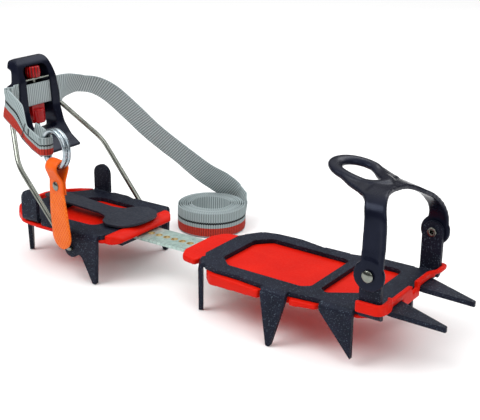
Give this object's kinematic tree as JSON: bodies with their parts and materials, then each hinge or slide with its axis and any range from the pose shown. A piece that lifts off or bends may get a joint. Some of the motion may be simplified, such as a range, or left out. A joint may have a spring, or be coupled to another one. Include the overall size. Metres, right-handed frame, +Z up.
{
  "type": "mountaineering crampon",
  "caption": "Right-foot semi-automatic crampon: hinged toe basket, pointed steel frames on a length bar, moulded plates, wire heel bail with screw-adjusted lever, ring-buckle strap.",
  "frame": {"origin": "on the ground under the middle of the crampon, without the strap and what hangs on it", "axes": "+X from heel to toe, +Y towards the inner side of the foot, +Z up; point tips on z = 0"},
  "size_m": [0.3461, 0.1838, 0.1404],
  "materials": {
    "black_steel": "satin black powder coat",
    "red_plastic": "smooth moulded",
    "black_plastic": "satin moulded",
    "steel": "bright drawn steel",
    "zinc_steel": "zinc plated",
    "grey_spring": "satin grey",
    "red_gloss": "glossy moulded",
    "webbing": "woven polyester",
    "orange_tab": "cross-hatched"
  },
  "bodies": {
    "rear": {"rear_frame": "black_steel", "rear_plate": "red_plastic", "bar_guide": "black_steel", "guide_rivets": "steel", "lever_rivet": "steel", "strap_lower": "webbing", "strap_roll": "webbing"},
    "front": {"front_frame": "black_steel", "front_plate": "red_plastic", "link_bar": "zinc_steel", "bar_screws": "steel", "basket_rivets": "steel"},
    "basket": {"toe_basket": "black_plastic"},
    "spring_lever": {"length_lever": "grey_spring", "lock_pin": "steel"},
    "bail": {"heel_bail": "steel", "strap_upper": "webbing", "strap_short": "webbing"},
    "nut": {"adjuster_nut": "red_gloss"},
    "binding_lever": {"heel_lever": "black_plastic", "thrust_plate": "steel", "strap_thread": "webbing"},
    "knob": {"adjuster_knob": "red_gloss", "adjuster_screw": "steel"},
    "outer_ring": {"ring_outer": "zinc_steel"},
    "inner_ring": {"ring_inner": "zinc_steel"},
    "tab": {"pull_tab": "orange_tab", "tab_rivet": "steel"}
  },
  "joints": [
    {"name": "length_slide", "type": "slide", "parent": "rear", "child": "front", "axis": [1, 0, 0], "range_m": [-0.027, 0.027]},
    {"name": "basket_hinge", "type": "hinge", "parent": "front", "child": "basket", "pos_m": [0.13476, 0, 0.0604], "axis": [0, 1, 0], "range_deg": [-45, 60]},
    {"name": "lever_lift", "type": "hinge", "parent": "rear", "child": "spring_lever", "pos_m": [-0.14684, 0, 0.0388], "axis": [0, -1, 0], "range_deg": [0, 5], "stiffness_Nm_per_rad": 2},
    {"name": "bail_hinge", "type": "hinge", "parent": "rear", "child": "bail", "pos_m": [-0.09484, 0, 0.022], "axis": [0, 1, 0], "range_deg": [-25, 60], "deforming": ["strap_upper", "strap_lower"]},
    {"name": "nut_hinge", "type": "hinge", "parent": "bail", "child": "nut", "pos_m": [-0.16619, 0, 0.10703], "axis": [0, 1, 0], "range_deg": [-100, 35], "deforming": ["strap_upper", "strap_short"]},
    {"name": "lever_slide", "type": "slide", "parent": "nut", "child": "binding_lever", "axis": [-0.0698, 0, 0.9976], "range_m": [-0.001, 0.003]},
    {"name": "knob_spin", "type": "hinge", "parent": "binding_lever", "child": "knob", "pos_m": [-0.1625, 0, 0.10729], "axis": [-0.0698, 0, 0.9976], "range_deg": [-360, 1080]},
    {"name": "ring_swing", "type": "hinge", "parent": "bail", "child": "outer_ring", "pos_m": [-0.11131, -0.04338, 0.09353], "axis": [0, 0, -1], "range_deg": [0, 50], "deforming": ["strap_short"]},
    {"name": "inner_ring_swing", "type": "hinge", "parent": "bail", "child": "inner_ring", "pos_m": [-0.11131, -0.04338, 0.09353], "axis": [0, 0, -1], "range_deg": [0, 50]},
    {"name": "tab_swing", "type": "hinge", "parent": "outer_ring", "child": "tab", "pos_m": [-0.09899, -0.046, 0.08093], "axis": [-0.9781, 0.2079, 0], "range_deg": [0, 50]}
  ],
  "couplings": [
    {"joint": "knob_spin", "follows": "lever_slide", "rad_per_m": 6283.2},
    {"joint": "inner_ring_swing", "follows": "ring_swing", "ratio": 1}
  ]
}
